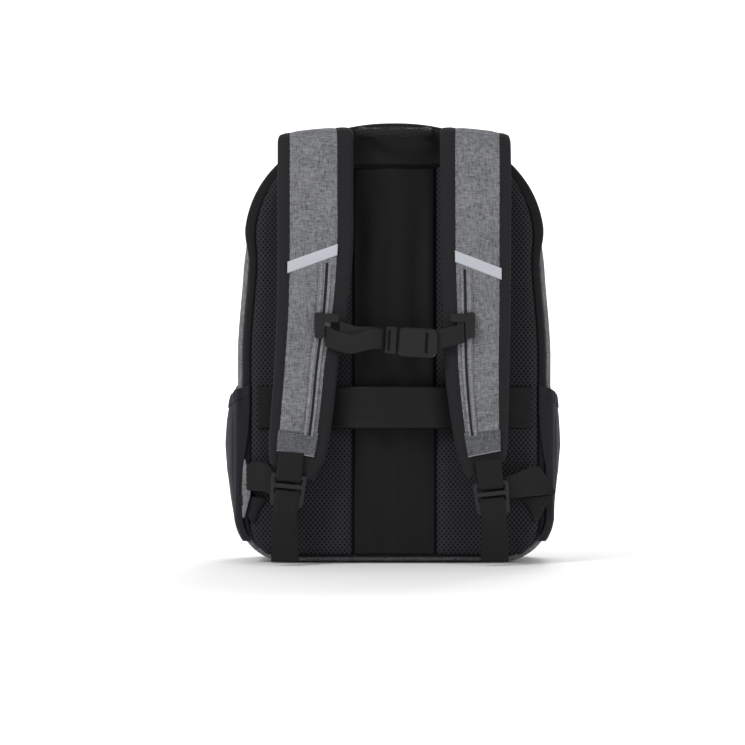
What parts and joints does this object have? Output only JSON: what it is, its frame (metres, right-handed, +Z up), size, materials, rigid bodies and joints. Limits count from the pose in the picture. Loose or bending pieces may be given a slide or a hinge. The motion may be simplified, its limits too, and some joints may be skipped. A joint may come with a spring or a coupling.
{
  "type": "laptop backpack",
  "caption": "Soft laptop backpack with padded shoulder straps, sternum strap, mesh back pads, luggage band, side pockets and a carry handle, standing upright.",
  "frame": {"origin": "centre of the bounding box on the base plane", "axes": "+Z up the bag; -Y towards the wearer's side with the straps; +X to the right as seen from that side"},
  "size_m": [0.3492, 0.2378, 0.4494],
  "materials": {
    "heather_fabric": "woven heather polyester, matt",
    "black_fabric": "plain woven polyester, matt",
    "spacer_mesh": "knitted spacer mesh over foam",
    "satin_lining": "fine woven polyester with a soft sheen",
    "webbing": "woven polyester webbing",
    "stretch_fabric": "knitted stretch fabric, matt",
    "reflective_tape": "retroreflective tape, satin",
    "moulded_plastic": "moulded acetal, semi-gloss",
    "zip_tape": "woven tape with a coil",
    "slider_metal": "enamelled zinc, satin"
  },
  "bodies": {
    "root": {"body_shell": "heather_fabric", "back_board": "black_fabric", "panel_binding": "webbing", "yoke_panel": "spacer_mesh", "centre_channel": "satin_lining", "luggage_band": "satin_lining", "grab_handle": "webbing", "back_pad_left": "spacer_mesh", "back_pad_right": "spacer_mesh", "strap_pad_left": "black_fabric", "strap_pad_right": "black_fabric", "strap_face_left": "heather_fabric", "strap_face_right": "heather_fabric", "strap_reflector_left": "reflective_tape", "strap_reflector_right": "reflective_tape", "strap_rail_left": "webbing", "strap_rail_right": "webbing", "rail_clip_left": "moulded_plastic", "rail_clip_right": "moulded_plastic", "side_pocket_left": "stretch_fabric", "side_pocket_right": "stretch_fabric", "pocket_binding_left": "webbing", "pocket_binding_right": "webbing", "anchor_wing_left": "black_fabric", "anchor_wing_right": "black_fabric", "ladder_lock_left": "moulded_plastic", "ladder_lock_right": "moulded_plastic", "strap_tab_left": "webbing", "strap_tab_right": "webbing", "adjust_web_left": "webbing", "adjust_web_right": "webbing", "web_tail_left": "webbing", "web_tail_right": "webbing", "sternum_web_left": "webbing", "sternum_web_back": "webbing", "sternum_web_right": "webbing", "buckle_socket": "moulded_plastic", "buckle_plug": "moulded_plastic", "main_zip": "zip_tape", "zip_slider_left": "slider_metal", "zip_slider_right": "slider_metal", "front_pocket": "heather_fabric", "front_zip": "zip_tape", "front_slider": "slider_metal"}
  },
  "joints": []
}
